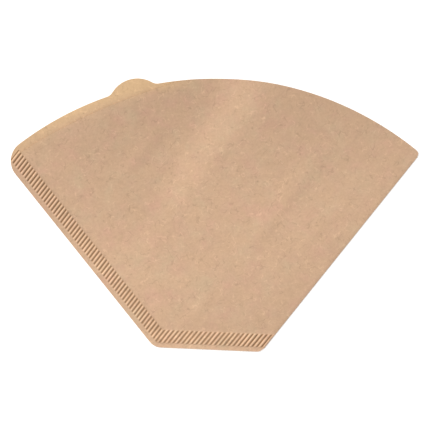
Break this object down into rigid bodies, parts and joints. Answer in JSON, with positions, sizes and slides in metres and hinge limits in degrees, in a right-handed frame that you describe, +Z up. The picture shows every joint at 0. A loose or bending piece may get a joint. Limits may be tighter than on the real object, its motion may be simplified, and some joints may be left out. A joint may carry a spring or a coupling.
{
  "type": "paper coffee filter",
  "caption": "Flat-folded wedge coffee filter of unbleached paper: one folded side, crimped side and base seams, open curved mouth with a thumb tab on the lower ply.",
  "frame": {"origin": "on the table, under the middle of the rectangle the filter covers", "axes": "+Z up off the table, out of the upper ply; +X across the wedge from the crimped side to the folded side; +Y from the base to the mouth"},
  "size_m": [0.162, 0.1084, 0.0039],
  "materials": {
    "unbleached_paper": "matt, porous, faintly fibrous and mottled, light brown"
  },
  "bodies": {
    "root": {"filter_paper": "unbleached_paper"}
  },
  "joints": []
}
